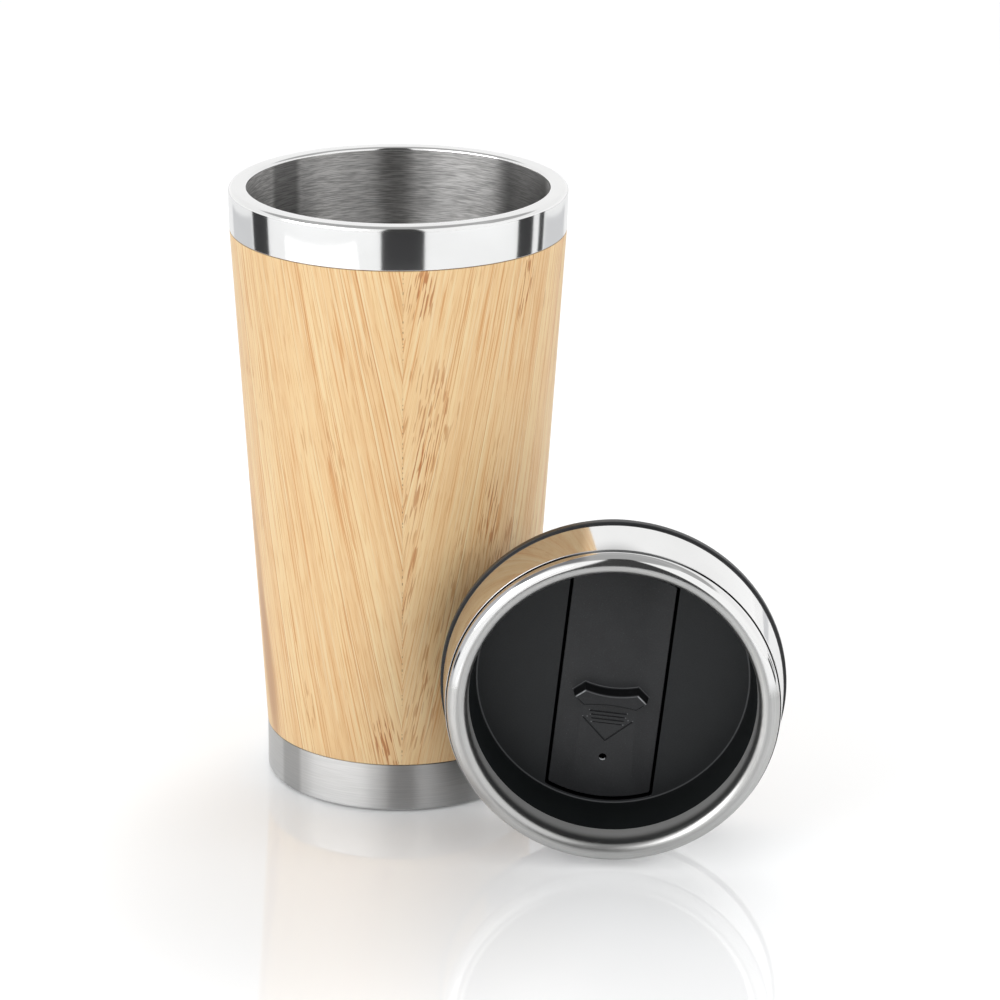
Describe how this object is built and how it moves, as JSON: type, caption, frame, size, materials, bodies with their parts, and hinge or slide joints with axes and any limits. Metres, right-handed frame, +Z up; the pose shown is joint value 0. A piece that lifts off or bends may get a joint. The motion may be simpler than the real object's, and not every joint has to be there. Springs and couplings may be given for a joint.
{
  "type": "insulated travel mug",
  "caption": "Tapered double-wall steel travel mug in a bamboo sleeve, with its push-in lid with a sliding sip cover standing on edge beside it.",
  "frame": {"origin": "centre of the mug's underside, on the surface that it stands on", "axes": "+Z up along the mug's axis and out of its mouth; -Y is the front, towards which the lid faces"},
  "size_m": [0.1381, 0.1145, 0.156],
  "materials": {
    "brushed_liner": "brushed round the wall, satin",
    "hidden_steel": "plain drawn steel, not seen",
    "bamboo": "light straight-grained bamboo, sanded, clear satin lacquer",
    "polished_steel": "mirror polished",
    "brushed_base": "fine circular brushing",
    "pad_rubber": "matte",
    "lid_black": "fine satin moulding",
    "trim_steel": "polished outside, satin over the crest",
    "seal_silicone": "soft matte silicone",
    "slider_black": "fine satin moulding"
  },
  "bodies": {
    "cup": {"inner_liner": "brushed_liner", "outer_shell": "hidden_steel", "bamboo_sleeve": "bamboo", "rim_band": "polished_steel", "base_band": "brushed_base", "anti_slip_pad": "pad_rubber"},
    "lid": {"lid_body": "lid_black", "lid_plug": "lid_black", "lid_trim_ring": "trim_steel", "lid_seal": "seal_silicone"},
    "slider": {"slider": "slider_black", "slider_stop_pad": "seal_silicone"}
  },
  "joints": [
    {"name": "lid_lift", "type": "slide", "parent": "cup", "child": "lid", "axis": [0, -0.7071, 0.7071], "range_m": [0, 0.15]},
    {"name": "slider_slide", "type": "slide", "parent": "lid", "child": "slider", "axis": [0.1016, -0.0247, 0.9945], "range_m": [0, 0.0062]}
  ]
}
